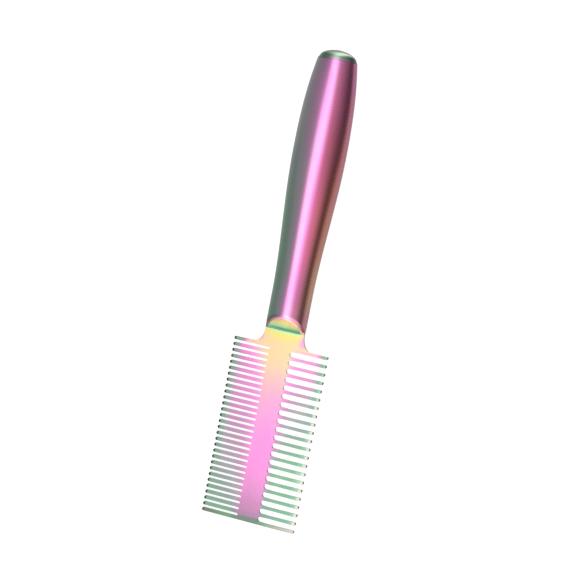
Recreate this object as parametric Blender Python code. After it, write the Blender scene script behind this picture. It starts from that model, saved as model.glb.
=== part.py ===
"""Double-sided dematting comb: a flat steel comb plate whose tang is pinned inside a hollow round handle.

The comb lies in the XY plane. The handle runs towards +Y and the toothed rows towards -Y, with the
fine teeth on the -X side, the coarse teeth on the +X side, and +Z square to the plate.
Local coordinates start on the handle's axis, level with the shoulders, which are the upper edges of
the first teeth. The spine between the rows stands a little to the fine side of that axis. An empty
carries every piece and puts the middle of the comb's box at the world origin. All sizes are in metres.
"""

import math

import bmesh
import bpy
from mathutils import Matrix

# Comb plate
ROW_LENGTH = 0.0749  # shoulders to the end bar's outer edge
SPINE_WIDTH = 0.0087
SPINE_OFFSET = 0.0006  # how far the spine's centre line lies to the fine side of the handle's axis
PLATE_THICKNESS = 0.0014
FINE_TEETH = 30
FINE_TOOTH_WIDTH = 0.0014
FINE_REACH = 0.0200  # spine's centre line to the fine tips
COARSE_TEETH = 22
COARSE_TOOTH_WIDTH = 0.0013  # at its tip and at its root
COARSE_TOOTH_WAIST = 0.0011  # at its narrowest
COARSE_REACH = 0.0206
TOOTH_WAIST_AT = 0.0090  # from the spine's centre line
NECK_LENGTH = 0.00665  # shoulders to the handle's nose
SHOULDER_FILLET_ACROSS = 0.0042
SHOULDER_FILLET_ALONG = 0.0060
TANG_LENGTH = 0.0300  # hidden length, from the nose

# Handle
HANDLE_LENGTH = 0.11555  # nose to the top of the domed butt
WAIST_RADIUS = 0.0084
WAIST_LENGTH = 0.0154  # straight stretch behind the nose
BELLY_RADIUS = 0.01095
BELLY_AT = 0.07335  # from the nose
RIM_RADIUS = 0.0081
RIM_TAPER = -0.19  # slope of the outline where it meets the butt cap
DOME_HEIGHT = 0.0042
SHELL_WALL = 0.0010
BEVEL_ANGLE = math.radians(52.0)  # nose bevels against the plate

# Pieces inside the handle
CHEEK_LENGTH = 0.0260  # from the nose
PIN_RADIUS = 0.0015
PIN_SUNK = 0.0008  # how far a pin's ends lie below the cheeks' round backs
FIRST_PIN_AT = 0.0125  # from the nose
PIN_SPACING = 0.0085
CAP_SKIRT = 0.0060
CAP_WALL = 0.0010

# Clearance between neighbouring pieces
GAP = 0.0003

# Faceting
TIP_STEPS = 6
FILLET_STEPS = 8
AROUND = 24  # facets round a half shell
ALONG_WAIST = 2
ALONG_SWELL = 12
ALONG_TAPER = 9
DOME_STEPS = 7
PIN_SIDES = 20

# Worked out from the driving dimensions
NOSE = NECK_LENGTH
BUTT = NOSE + HANDLE_LENGTH
RIM = BUTT - DOME_HEIGHT
HALF_PLATE = PLATE_THICKNESS / 2
BORE = WAIST_RADIUS - SHELL_WALL
CHEEK_RADIUS = BORE - GAP
CHEEK_FLAT = HALF_PLATE + GAP
PINS_AT = [NOSE + FIRST_PIN_AT + PIN_SPACING * number for number in range(2)]


def arc(cx, cy, rx, ry, start, end, steps):
    """Points of an elliptical arc, from start to end in degrees."""
    angles = [math.radians(start + (end - start) * step / steps) for step in range(steps + 1)]
    return [(cx + rx * math.cos(a), cy + ry * math.sin(a)) for a in angles]


def row_outline(side, teeth, width, waist, reach):
    """One side of the plate's outline, from the nose down to the end bar. Side is -1 or +1."""
    pitch = (ROW_LENGTH - width) / (teeth - 1)
    slot = pitch - width
    across = SHOULDER_FILLET_ACROSS
    along = min(SHOULDER_FILLET_ALONG, NOSE - 2 * GAP)
    neck = [(WAIST_RADIUS, NOSE - GAP)]
    neck += arc(WAIST_RADIUS + across, along, across, along, 180, 270, FILLET_STEPS)
    row = []
    for tooth in range(teeth):
        line = -width / 2 - tooth * pitch
        row += arc(reach - width / 2, line, width / 2, width / 2, 90, -90, TIP_STEPS)
        if tooth < teeth - 1:
            middle = line - pitch / 2
            row.append((TOOTH_WAIST_AT, line - waist / 2))
            row += arc(SPINE_WIDTH / 2 + slot / 2, middle, slot / 2, slot / 2, 90, 270, TIP_STEPS)
            row.append((TOOTH_WAIST_AT, line - pitch + waist / 2))
    return [(side * x, y) for x, y in neck] + [(side * x - SPINE_OFFSET, y) for x, y in row]


def plate_outline():
    """The whole outline of the comb plate, with its tang."""
    tang = math.sqrt(BORE**2 - HALF_PLATE**2) - GAP
    fine = row_outline(-1, FINE_TEETH, FINE_TOOTH_WIDTH, FINE_TOOTH_WIDTH, FINE_REACH)
    coarse = row_outline(1, COARSE_TEETH, COARSE_TOOTH_WIDTH, COARSE_TOOTH_WAIST, COARSE_REACH)
    top = NOSE + TANG_LENGTH
    corner = tang / 3
    tang_end = arc(tang - corner, top - corner, corner, corner, 0, 90, TIP_STEPS)
    right = [(tang, NOSE - GAP)] + tang_end
    left = [(-x, y) for x, y in reversed(right)]
    return fine + list(reversed(coarse)) + right + left


def handle_radius(y):
    """Outer radius of the handle at y: a straight waist, a swell to the belly, a taper to the rim."""
    waist = NOSE + WAIST_LENGTH
    belly = NOSE + BELLY_AT
    if y <= waist:
        return WAIST_RADIUS
    if y <= belly:
        s = (y - waist) / (belly - waist)
        return WAIST_RADIUS + (BELLY_RADIUS - WAIST_RADIUS) * s * s * (3 - 2 * s)
    s = (y - belly) / (RIM - belly)
    ease = s * s * (3 - 2 * s)
    return BELLY_RADIUS + (RIM_RADIUS - BELLY_RADIUS) * ease + RIM_TAPER * (RIM - belly) * s * s * (s - 1)


def bevel_start(z):
    """Where the nose's bevel plane stands at height z above the plate's middle."""
    return NOSE + max(0.0, z - HALF_PLATE) / math.tan(BEVEL_ANGLE)


def stations():
    """Places along the handle where its shell has a ring of points, after the bevelled end."""
    waist = NOSE + WAIST_LENGTH
    belly = NOSE + BELLY_AT
    spans = [
        (bevel_start(WAIST_RADIUS), waist, ALONG_WAIST),
        (waist, belly, ALONG_SWELL),
        (belly, RIM, ALONG_TAPER),
    ]
    places = []
    for start, end, steps in spans:
        places += [start + (end - start) * (step + 1) / steps for step in range(steps)]
    return places[:-1] + [RIM - GAP]


def object_of(name, bm, material, frame):
    """Close the bmesh into a named object on the comb's empty, smooth where it is round."""
    bmesh.ops.recalc_face_normals(bm, faces=bm.faces)
    mesh = bpy.data.meshes.new(name)
    bm.to_mesh(mesh)
    bm.free()
    mesh.shade_smooth()
    mesh.set_sharp_from_angle(angle=math.radians(35))
    mesh.materials.append(material)
    obj = bpy.data.objects.new(name, mesh)
    bpy.context.collection.objects.link(obj)
    obj.parent = frame
    return obj


def steel(name, colour, roughness):
    """A coated steel with the given base colour."""
    material = bpy.data.materials.new(name)
    material.use_nodes = True
    shader = material.node_tree.nodes["Principled BSDF"]
    shader.inputs["Base Color"].default_value = (*colour, 1)
    shader.inputs["Metallic"].default_value = 1
    shader.inputs["Roughness"].default_value = roughness
    return material


def prism(points, low, high):
    """A bmesh of an outline in XY, from z low to z high."""
    bm = bmesh.new()
    face = bm.faces.new([bm.verts.new((x, y, low)) for x, y in points])
    raised = bmesh.ops.extrude_face_region(bm, geom=[face])["geom"]
    tops = [item for item in raised if isinstance(item, bmesh.types.BMVert)]
    bmesh.ops.translate(bm, verts=tops, vec=(0, 0, high - low))
    return bm


def add_pin_holes(obj, frame):
    """Cut the two pin holes through a piece."""
    for number, y in enumerate(PINS_AT, start=1):
        bm = bmesh.new()
        reach = 3 * BORE
        radius = PIN_RADIUS + GAP
        bmesh.ops.create_cone(
            bm, cap_ends=True, segments=PIN_SIDES, radius1=radius, radius2=radius, depth=reach
        )
        cutter = object_of(f"{obj.name}_hole_cutter_{number}", bm, obj.active_material, frame)
        cutter.location = (0, y, 0)
        cutter.hide_render = True
        cutter.display_type = "WIRE"
        hole = obj.modifiers.new(f"pin_hole_{number}", "BOOLEAN")
        hole.operation = "DIFFERENCE"
        hole.solver = "EXACT"
        hole.object = cutter


def comb_plate(material, frame):
    """The flat plate with both rows of teeth, the spine, the neck and the tang."""
    plate = object_of("comb_plate", prism(plate_outline(), -HALF_PLATE, HALF_PLATE), material, frame)
    add_pin_holes(plate, frame)


def shell_point(y, radius, turn):
    """A point at this radius and turn (0 to 1 across the front), kept half a gap off the seam's plane."""
    seam = math.asin(GAP / 2 / radius)
    angle = seam + (math.pi - 2 * seam) * turn
    z = radius * math.sin(angle)
    return (radius * math.cos(angle), bevel_start(z) if y is None else y, z)


def handle_shell(name, material, frame, back):
    """A pressed half shell, open at the bevelled nose and at the butt."""
    rings = [None] + stations()
    skins = []
    bm = bmesh.new()
    for inset in (0, SHELL_WALL):
        skin = []
        for y in rings:
            radius = (WAIST_RADIUS if y is None else handle_radius(y)) - inset
            turns = [step / AROUND for step in range(AROUND + 1)]
            skin.append([bm.verts.new(shell_point(y, radius, turn)) for turn in turns])
        skins.append(skin)
    outer, inner = skins
    last = len(rings) - 1
    for skin in skins:
        for ring in range(last):
            for step in range(AROUND):
                a, b = skin[ring][step : step + 2]
                d, c = skin[ring + 1][step : step + 2]
                bm.faces.new((a, b, c, d))
    for ring in (0, last):
        for step in range(AROUND):
            bm.faces.new((*outer[ring][step : step + 2], inner[ring][step + 1], inner[ring][step]))
    for step in (0, AROUND):
        for ring in range(last):
            rim = (inner[ring + 1][step], inner[ring][step])
            bm.faces.new((outer[ring][step], outer[ring + 1][step], *rim))
    if back:
        bmesh.ops.rotate(bm, verts=bm.verts, matrix=Matrix.Rotation(math.pi, 3, "Y"))
    object_of(name, bm, material, frame)


def nose_cheek(name, material, frame, back):
    """Half of the bevelled nose: a D-shaped block against the plate, flush with the shell's end."""
    start = math.asin(CHEEK_FLAT / CHEEK_RADIUS)
    angles = [start + (math.pi - 2 * start) * step / AROUND for step in range(AROUND + 1)]
    section = [(CHEEK_RADIUS * math.cos(a), CHEEK_RADIUS * math.sin(a)) for a in angles]
    bm = bmesh.new()
    front = [bm.verts.new((x, bevel_start(z), z)) for x, z in section]
    rear = [bm.verts.new((x, NOSE + CHEEK_LENGTH, z)) for x, z in section]
    bm.faces.new(front)
    bm.faces.new(rear)
    for step in range(len(section)):
        bm.faces.new((front[step - 1], front[step], rear[step], rear[step - 1]))
    if back:
        bmesh.ops.rotate(bm, verts=bm.verts, matrix=Matrix.Rotation(math.pi, 3, "Y"))
    cheek = object_of(name, bm, material, frame)
    add_pin_holes(cheek, frame)


def turned(name, profile, sides, material, frame):
    """A piece turned about its own Z axis, from a closed outline of (radius, height) points."""
    bm = bmesh.new()
    verts = [bm.verts.new((radius, 0, height)) for radius, height in profile]
    edges = [bm.edges.new((a, b)) for a, b in zip(verts, verts[1:])]
    bmesh.ops.spin(
        bm, geom=verts + edges, axis=(0, 0, 1), cent=(0, 0, 0), steps=sides, angle=2 * math.pi
    )
    bmesh.ops.remove_doubles(bm, verts=bm.verts, dist=1e-6)
    return object_of(name, bm, material, frame)


def dome_profile(rim, height):
    """Points of a shallow spherical dome, from its top on the axis down to its rim at height 0."""
    radius = (rim**2 + height**2) / (2 * height)
    edge = math.degrees(math.asin((radius - height) / radius))
    return arc(0, height - radius, radius, radius, 90, edge, DOME_STEPS)


def butt_cap(material, frame):
    """The domed cap: a thin cup whose skirt sits inside the shells' open end."""
    skirt = RIM_RADIUS - SHELL_WALL - GAP
    dome = dome_profile(RIM_RADIUS, DOME_HEIGHT)
    hollow = dome_profile(skirt - CAP_WALL, DOME_HEIGHT - CAP_WALL)
    profile = dome + [(skirt, 0), (skirt, -CAP_SKIRT), (skirt - CAP_WALL, -CAP_SKIRT)] + hollow[::-1]
    cap = turned("butt_cap", profile, 2 * AROUND, material, frame)
    cap.location = (0, RIM, 0)
    cap.rotation_euler = (-math.pi / 2, 0, 0)


def tang_pins(material, frame):
    """The straight pins through both cheeks and the tang."""
    half = CHEEK_RADIUS - PIN_SUNK
    chamfer = PIN_RADIUS / 5
    slim = PIN_RADIUS - chamfer
    profile = [(0, -half), (slim, -half), (PIN_RADIUS, chamfer - half)]
    profile += [(radius, -height) for radius, height in reversed(profile)]
    for number, y in enumerate(PINS_AT, start=1):
        pin = turned(f"tang_pin_{number}", profile, PIN_SIDES, material, frame)
        pin.location = (0, y, 0)


def main():
    """Clear the scene and build every piece of the comb."""
    for obj in list(bpy.data.objects):
        bpy.data.objects.remove(obj, do_unlink=True)
    frame = bpy.data.objects.new("comb_frame", None)
    bpy.context.collection.objects.link(frame)
    across = SPINE_OFFSET + (FINE_REACH - COARSE_REACH) / 2
    frame.location = (across, (ROW_LENGTH - BUTT) / 2, 0)
    comb_plate(steel("plate_steel", (0.86, 0.42, 0.62), 0.25), frame)
    handle_shell("handle_shell_front", steel("front_shell_steel", (0.80, 0.36, 0.66), 0.30), frame, False)
    handle_shell("handle_shell_back", steel("back_shell_steel", (0.80, 0.36, 0.66), 0.30), frame, True)
    nose_cheek("nose_cheek_front", steel("front_cheek_steel", (0.72, 0.70, 0.30), 0.28), frame, False)
    nose_cheek("nose_cheek_back", steel("back_cheek_steel", (0.72, 0.70, 0.30), 0.28), frame, True)
    butt_cap(steel("cap_steel", (0.38, 0.62, 0.48), 0.28), frame)
    tang_pins(steel("pin_steel", (0.62, 0.60, 0.58), 0.35), frame)


main()
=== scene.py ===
"""Double-sided dematting comb: a film-coated steel comb plate held in a hollow round handle.

The comb lies flat with its handle towards +Y, the fine teeth at -X and the coarse teeth at +X.
Lengths are in metres. Material patterns are worked out in millimetres from the comb's own centre lines.
"""

import logging
import math
from collections.abc import Callable, Iterator
from contextlib import contextmanager
from dataclasses import dataclass, field
from enum import Enum
from typing import NamedTuple

import bmesh
import bpy
from mathutils import Matrix, Vector


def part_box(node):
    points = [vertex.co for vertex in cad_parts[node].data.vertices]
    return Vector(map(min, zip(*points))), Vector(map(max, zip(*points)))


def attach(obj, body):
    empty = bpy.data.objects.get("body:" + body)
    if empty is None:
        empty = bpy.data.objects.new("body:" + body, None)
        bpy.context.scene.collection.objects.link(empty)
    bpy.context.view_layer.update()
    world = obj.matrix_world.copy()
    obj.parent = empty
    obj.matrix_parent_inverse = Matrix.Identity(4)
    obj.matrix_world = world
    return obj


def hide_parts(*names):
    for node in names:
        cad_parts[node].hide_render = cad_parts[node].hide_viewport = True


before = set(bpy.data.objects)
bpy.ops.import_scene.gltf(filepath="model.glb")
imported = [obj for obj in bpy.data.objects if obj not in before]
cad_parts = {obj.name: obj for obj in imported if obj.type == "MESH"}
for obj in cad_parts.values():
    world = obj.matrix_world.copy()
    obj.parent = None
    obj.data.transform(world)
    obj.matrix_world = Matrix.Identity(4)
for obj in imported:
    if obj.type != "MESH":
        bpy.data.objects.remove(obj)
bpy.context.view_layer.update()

LOG = logging.getLogger("dematting_comb")
MM = 0.001
PLATE_NODE = "comb_plate"
FRONT_SHELL_NODE = "handle_shell_front"
CAP_NODE = "butt_cap"
NOISE_SPAN = (0.3, 0.7)

Socket = bpy.types.NodeSocket
Span = tuple[float, float]
Places = tuple[Span, ...]
Rgb = tuple[int, int, int]
Ring = tuple[float, float]
Ramp = tuple[float, float, float, float]
Grain = tuple[float, float, float]


# ---------------------------------------------------------------- where things stand


def ease(part: float) -> float:
    """A share from 0 to 1, eased in and out."""
    return part**2 * (3 - 2 * part)


@dataclass(frozen=True)
class Layout:
    """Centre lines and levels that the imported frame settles, with the handle's outline between them."""

    spine_x: float
    shoulder_y: float
    end_y: float
    half_plate: float
    axis_x: float
    nose_y: float
    rim_y: float
    butt_y: float
    belly_radius: float
    rim_radius: float
    row_length: float = 74.9 * MM
    fine_reach: float = 20.0 * MM
    dome_height: float = 4.2 * MM
    waist_radius: float = 8.4 * MM
    waist_length: float = 15.4 * MM
    belly_at: float = 73.35 * MM
    rim_taper: float = -0.19
    bevel_angle: float = 52.0

    @classmethod
    def from_frame(cls) -> "Layout":
        """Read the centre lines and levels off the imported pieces' boxes.

        Returns:
            The layout that every piece is built on.
        """
        plate_low, plate_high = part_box(PLATE_NODE)
        shell_low, shell_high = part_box(FRONT_SHELL_NODE)
        cap_low, cap_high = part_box(CAP_NODE)
        return cls(
            spine_x=plate_low.x + cls.fine_reach,
            shoulder_y=plate_low.y + cls.row_length,
            end_y=plate_low.y,
            half_plate=plate_high.z,
            axis_x=(shell_low.x + shell_high.x) / 2,
            nose_y=shell_low.y,
            rim_y=cap_high.y - cls.dome_height,
            butt_y=cap_high.y,
            belly_radius=(shell_high.x - shell_low.x) / 2,
            rim_radius=(cap_high.x - cap_low.x) / 2,
        )

    def radius_at(self, y: float) -> float:
        """Outer radius of the handle at y: a straight waist, a swell to the belly and a taper to the rim.

        Args:
            y: Place along the comb.

        Returns:
            The radius there.
        """
        waist = self.nose_y + self.waist_length
        belly = self.nose_y + self.belly_at
        if y <= waist:
            return self.waist_radius
        if y <= belly:
            swell = self.belly_radius - self.waist_radius
            return self.waist_radius + swell * ease((y - waist) / (belly - waist))
        taper = self.rim_y - belly
        part = (y - belly) / taper
        radius = self.belly_radius + (self.rim_radius - self.belly_radius) * ease(part)
        return radius + self.rim_taper * taper * part**2 * (part - 1)


# ---------------------------------------------------------------- the bench


class Part(Enum):
    """What an edit-mode step picks on a mesh."""

    VERTS = "verts"
    EDGES = "edges"
    FACES = "faces"


def stands_at(edge: bmesh.types.BMEdge, axis: str, level: float, near: float) -> bool:
    """Whether both ends of an edge stand at a level.

    Args:
        edge: The edge.
        axis: The letter of the axis that the level is on.
        level: Place along that axis.
        near: How far off still counts.

    Returns:
        Whether they do.
    """
    return all(abs(getattr(vert.co, axis) - level) < near for vert in edge.verts)


def clear_selection() -> None:
    """Leave edit mode, with nothing selected."""
    if bpy.context.mode != "OBJECT":
        bpy.ops.object.mode_set(mode="OBJECT")
    bpy.ops.object.select_all(action="DESELECT")


class Workpiece:
    """A mesh on the bench and the hand steps that shape it."""

    MERGE = 0.004 * MM
    CUT = 0.0001 * MM
    FACE_WEIGHT = 60

    def __init__(self, obj: bpy.types.Object, name: str) -> None:
        """Take an object and put its place into its mesh."""
        self.obj = obj
        self.obj.name = name
        self.obj.data.name = name
        self.take()
        bpy.ops.object.transform_apply(location=True, rotation=True, scale=True)

    @classmethod
    def box(cls, name: str, low: Vector, high: Vector) -> "Workpiece":
        """Start from a block between two corners.

        Args:
            name: Name of the piece.
            low: Lowest corner.
            high: Highest corner.

        Returns:
            The new piece.
        """
        clear_selection()
        bpy.ops.mesh.primitive_cube_add(size=1, location=(low + high) / 2, scale=high - low)
        return cls(bpy.context.object, name)

    @classmethod
    def rod(cls, name: str, centre: Vector, radii: tuple[float, float], depth: float, sides: int,
            along_y: bool = False) -> "Workpiece":
        """Start from a round or elliptical rod.

        Args:
            name: Name of the piece.
            centre: Its middle.
            radii: Half widths across its two cross axes.
            depth: Its length.
            sides: Number of facets.
            along_y: Lay it along the comb, or stand it square to the plate.

        Returns:
            The new piece.
        """
        clear_selection()
        turn = (math.pi / 2, 0, 0) if along_y else (0, 0, 0)
        bpy.ops.mesh.primitive_cylinder_add(
            vertices=sides, radius=1, depth=depth, location=centre, rotation=turn, scale=(*radii, 1)
        )
        return cls(bpy.context.object, name)

    @classmethod
    def ring(cls, name: str, centre: Vector, radius: float, sides: int) -> "Workpiece":
        """Start from an open ring of points round the comb's length.

        Args:
            name: Name of the piece.
            centre: The ring's centre.
            radius: Its radius.
            sides: Number of points.

        Returns:
            The new piece.
        """
        clear_selection()
        bpy.ops.mesh.primitive_circle_add(
            vertices=sides, radius=radius, fill_type="NOTHING", location=centre,
            rotation=(math.pi / 2, 0, 0),
        )
        return cls(bpy.context.object, name)

    def take(self) -> None:
        """Select this piece alone and make it active."""
        clear_selection()
        self.obj.select_set(True)
        bpy.context.view_layer.objects.active = self.obj

    @contextmanager
    def editing(self) -> Iterator[None]:
        """Open the piece in edit mode for the steps inside the block.

        Returns:
            Nothing; the piece is back in object mode after the block.
        """
        self.take()
        bpy.ops.object.mode_set(mode="EDIT")
        yield
        bpy.ops.object.mode_set(mode="OBJECT")

    def pick(self, part: Part, test: Callable[[object], bool]) -> int:
        """Select the verts, edges or faces that pass a test. Used inside editing().

        Args:
            part: What to select.
            test: Says whether one of them is wanted.

        Returns:
            How many were picked.
        """
        bpy.ops.mesh.select_mode(type=part.name[:-1])
        bpy.ops.mesh.select_all(action="DESELECT")
        bm = bmesh.from_edit_mesh(self.obj.data)
        wanted = [item for item in getattr(bm, part.value) if test(item)]
        for item in wanted:
            item.select_set(True)
        bm.select_flush_mode()
        bmesh.update_edit_mesh(self.obj.data)
        return len(wanted)

    def weld(self, distance: float) -> None:
        """Merge all points that lie within a distance. Used inside editing()."""
        bpy.ops.mesh.select_all(action="SELECT")
        bpy.ops.mesh.remove_doubles(threshold=distance)

    def face_outwards(self) -> None:
        """Turn every face outwards. Used inside editing()."""
        bpy.ops.mesh.select_all(action="SELECT")
        bpy.ops.mesh.normals_make_consistent(inside=False)

    def draw_out(self, move: Vector) -> None:
        """Extrude what is picked. Used inside editing()."""
        bpy.ops.mesh.extrude_region_move(TRANSFORM_OT_translate={"value": move})

    def cut_off(self, point: Vector, outwards: Vector) -> None:
        """Saw the piece along a plane, drop what lies outwards of it and close the cut.

        Args:
            point: A point of the plane.
            outwards: The plane's normal, towards the waste.
        """
        with self.editing():
            bpy.ops.mesh.select_all(action="SELECT")
            bpy.ops.mesh.bisect(
                plane_co=point, plane_no=outwards, use_fill=True, clear_outer=True, threshold=self.CUT
            )

    def score(self, point: Vector, normal: Vector) -> None:
        """Add edges where a plane crosses the piece.

        Args:
            point: A point of the plane.
            normal: The plane's normal.
        """
        with self.editing():
            bpy.ops.mesh.select_all(action="SELECT")
            bpy.ops.mesh.bisect(plane_co=point, plane_no=normal, threshold=self.CUT)

    def combine(self, other: "Workpiece", operation: str) -> None:
        """Join another piece to this one, or cut it away, and clear it off the bench.

        Args:
            other: The piece or cutter that is used up.
            operation: The Boolean modifier's operation.
        """
        self.take()
        boolean = self.obj.modifiers.new(operation.lower(), "BOOLEAN")
        boolean.operation = operation
        boolean.solver = "EXACT"
        boolean.object = other.obj
        bpy.ops.object.modifier_apply(modifier=boolean.name)
        bpy.data.objects.remove(other.obj, do_unlink=True)

    def bevel(self, width: float, segments: int, profile: float = 0.5) -> None:
        """Round the picked edges. Used inside editing().

        Args:
            width: Width taken off each face.
            segments: Number of facets across the rounding.
            profile: Shape of the rounding; a half is circular.
        """
        bpy.ops.mesh.bevel(
            offset=width, segments=segments, profile=profile, affect="EDGES", clamp_overlap=False
        )

    def copy(self, name: str, move: Matrix) -> "Workpiece":
        """Copy the piece with its own mesh, moved or turned.

        Args:
            name: Name of the copy.
            move: Where the copy's mesh goes.

        Returns:
            The copy.
        """
        twin = self.obj.copy()
        twin.data = self.obj.data.copy()
        bpy.context.collection.objects.link(twin)
        twin.data.transform(move)
        return Workpiece(twin, name)

    def absorb(self, others: list["Workpiece"]) -> None:
        """Join other pieces' meshes into this one without merging them.

        Args:
            others: The pieces that are used up.
        """
        self.take()
        for other in others:
            other.obj.select_set(True)
        bpy.ops.object.join()

    def tidy(self, smooth_angle: float = 40.0) -> None:
        """Merge doubled points, face everything outwards and smooth the round stretches.

        Args:
            smooth_angle: Sharpest bend in degrees that still reads as round.
        """
        with self.editing():
            self.weld(self.MERGE)
            self.face_outwards()
        self.take()
        bpy.ops.object.shade_smooth_by_angle(angle=math.radians(smooth_angle))
        weighted = self.obj.modifiers.new("even_normals", "WEIGHTED_NORMAL")
        weighted.keep_sharp = True
        weighted.weight = self.FACE_WEIGHT
        bpy.ops.object.modifier_apply(modifier=weighted.name)

    def dress(self, material: bpy.types.Material, node: str, slot: str) -> None:
        """Give the piece its finish and put it on the frame in place of its plain solid.

        Args:
            material: The finish.
            node: The plain solid that it stands for.
            slot: The record's material slot; not used.
        """
        self.obj.data.materials.clear()
        self.obj.data.materials.append(material)
        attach(self.obj, "root")
        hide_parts(node)
        LOG.info("%s: %d faces, stands for %s", self.obj.name, len(self.obj.data.polygons), node)


# ---------------------------------------------------------------- finishes


def linear(colour: Rgb) -> tuple[float, float, float, float]:
    """Turn a display colour into the linear one that a shader wants.

    Args:
        colour: Red, green and blue, 0 to 255.

    Returns:
        Linear red, green, blue and a full alpha.
    """
    parts = [value / 255 for value in colour]
    red, green, blue = (p / 12.92 if p <= 0.04045 else ((p + 0.055) / 1.055) ** 2.4 for p in parts)
    return red, green, blue, 1.0


class Tint(Enum):
    """The film's colours as it thickens: where each stands from the film's start, and the colour."""

    SLATE_BLUE = (0.00, (70, 110, 150))
    SEA_GREEN = (0.05, (120, 230, 200))
    MINT = (0.10, (189, 240, 186))
    LIME = (0.15, (221, 248, 163))
    YELLOW = (0.20, (245, 236, 135))
    STRAW = (0.24, (252, 230, 145))
    PEACH = (0.30, (253, 221, 172))
    APRICOT = (0.34, (251, 215, 184))
    SALMON = (0.38, (251, 201, 197))
    ROSE = (0.43, (254, 188, 206))
    BLUSH = (0.46, (252, 180, 216))
    PINK = (0.50, (251, 168, 224))
    ORCHID = (0.53, (251, 157, 227))
    LILAC = (0.58, (243, 154, 216))
    MALLOW = (0.66, (218, 151, 200))
    MAUVE = (0.70, (205, 151, 190))
    PLUM = (0.745, (186, 160, 180))
    PEWTER = (0.79, (171, 172, 176))
    SAGE_GREY = (0.84, (153, 167, 161))
    GREEN = (0.92, (128, 180, 147))
    PALE_GREEN = (0.96, (168, 204, 175))
    CREAM = (1.00, (215, 218, 203))


class Wire:
    """A number that runs through a node tree. Python's arithmetic on it adds Math nodes."""

    def __init__(self, shader: "Shader", socket: Socket) -> None:
        """Hold an output socket and the tree it belongs to."""
        self.shader = shader
        self.socket = socket

    def math(self, operation: str, *others: "Wire | float") -> "Wire":
        """Put this value and the others through one Math node."""
        return self.shader.math(operation, self, *others)

    def __add__(self, other: "Wire | float") -> "Wire":
        """The sum of two values."""
        return self.math("ADD", other)

    def __sub__(self, other: "Wire | float") -> "Wire":
        """This value less another."""
        return self.math("SUBTRACT", other)

    def __rsub__(self, other: float) -> "Wire":
        """A plain number less this value."""
        return self.shader.math("SUBTRACT", other, self)

    def __mul__(self, other: "Wire | float") -> "Wire":
        """The product of two values."""
        return self.math("MULTIPLY", other)

    def __abs__(self) -> "Wire":
        """The value without its sign."""
        return self.math("ABSOLUTE")

    def above(self, level: float) -> "Wire":
        """1 where the value is above a level, and 0 elsewhere."""
        return self.math("GREATER_THAN", level)

    def turn_from(self, upright: "Wire") -> "Wire":
        """Angle in degrees of the direction with this value across and the other upright."""
        return self.math("ARCTAN2", upright).math("DEGREES")

    def pick(self, first: "Wire | float", second: "Wire | float") -> "Wire":
        """Mix two numbers by this share.

        Args:
            first: The number at 0.
            second: The number at 1.

        Returns:
            The mixed number.
        """
        inputs = {0: self, 2: first, 3: second}
        node = self.shader.add("ShaderNodeMix", inputs, data_type="FLOAT")
        return Wire(self.shader, node.outputs[0])

    def ramp(self, start: float, end: float, low: float = 0.0, high: float = 1.0,
             smooth: bool = False) -> "Wire":
        """Map the value from one range to another, stopped at its ends.

        Args:
            start: Value that gives low.
            end: Value that gives high.
            low: Result at the start.
            high: Result at the end.
            smooth: Ease in and out.

        Returns:
            The mapped value.
        """
        inputs = {0: self, 1: start, 2: end, 3: low, 4: high}
        kind = "SMOOTHSTEP" if smooth else "LINEAR"
        node = self.shader.add("ShaderNodeMapRange", inputs, interpolation_type=kind)
        return Wire(self.shader, node.outputs[0])

    def follow(self, places: Places) -> "Wire":
        """Read a height off a curve at this value.

        Args:
            places: Points of the curve, in rising order.

        Returns:
            The curve's height there.
        """
        first, last = places[0][0], places[-1][0]
        node = self.shader.add("ShaderNodeFloatCurve", {"Value": self.ramp(first, last)})
        line = node.mapping.curves[0]
        while len(line.points) < len(places):
            line.points.new(0.5, 0.5)
        for point, (place, height) in zip(line.points, places):
            point.location = ((place - first) / (last - first), height)
            point.handle_type = "AUTO_CLAMPED"
        node.mapping.update()
        return Wire(self.shader, node.outputs[0])


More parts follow.
